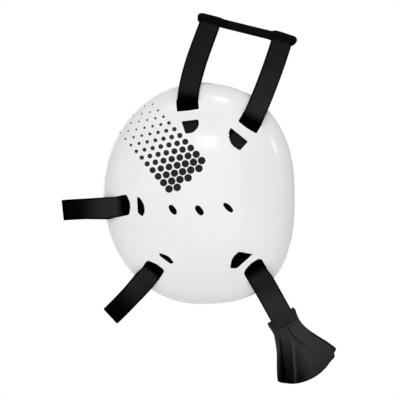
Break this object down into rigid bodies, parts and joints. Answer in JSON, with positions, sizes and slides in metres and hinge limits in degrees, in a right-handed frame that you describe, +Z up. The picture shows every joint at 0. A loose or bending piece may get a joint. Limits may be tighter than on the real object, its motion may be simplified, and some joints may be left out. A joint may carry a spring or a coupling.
{
  "type": "wrestling headgear",
  "caption": "Wrestling headgear: domed plastic ear guards with foam rings, joined by webbing over the crown, behind the head and round the nape, with a moulded chin cup.",
  "frame": {"origin": "middle of the crown bar's underside, where the headgear hangs on the top of the head", "axes": "+X towards the wearer's face, +Y towards the wearer's left ear, +Z up through the crown"},
  "size_m": [0.1868, 0.2344, 0.252],
  "materials": {
    "shell": "gloss",
    "foam": "matte",
    "webbing": "matte",
    "bar": "matte",
    "cup": "satin"
  },
  "bodies": {
    "root": {"ear_shell_right": "shell", "ear_shell_left": "shell", "ear_pad_right": "foam", "ear_pad_left": "foam", "crown_strap_front": "webbing", "crown_strap_rear": "webbing", "back_strap": "webbing", "nape_strap": "webbing", "chin_strap_right": "webbing", "chin_strap_left": "webbing", "crown_bar": "bar", "chin_cup": "cup"}
  },
  "joints": []
}
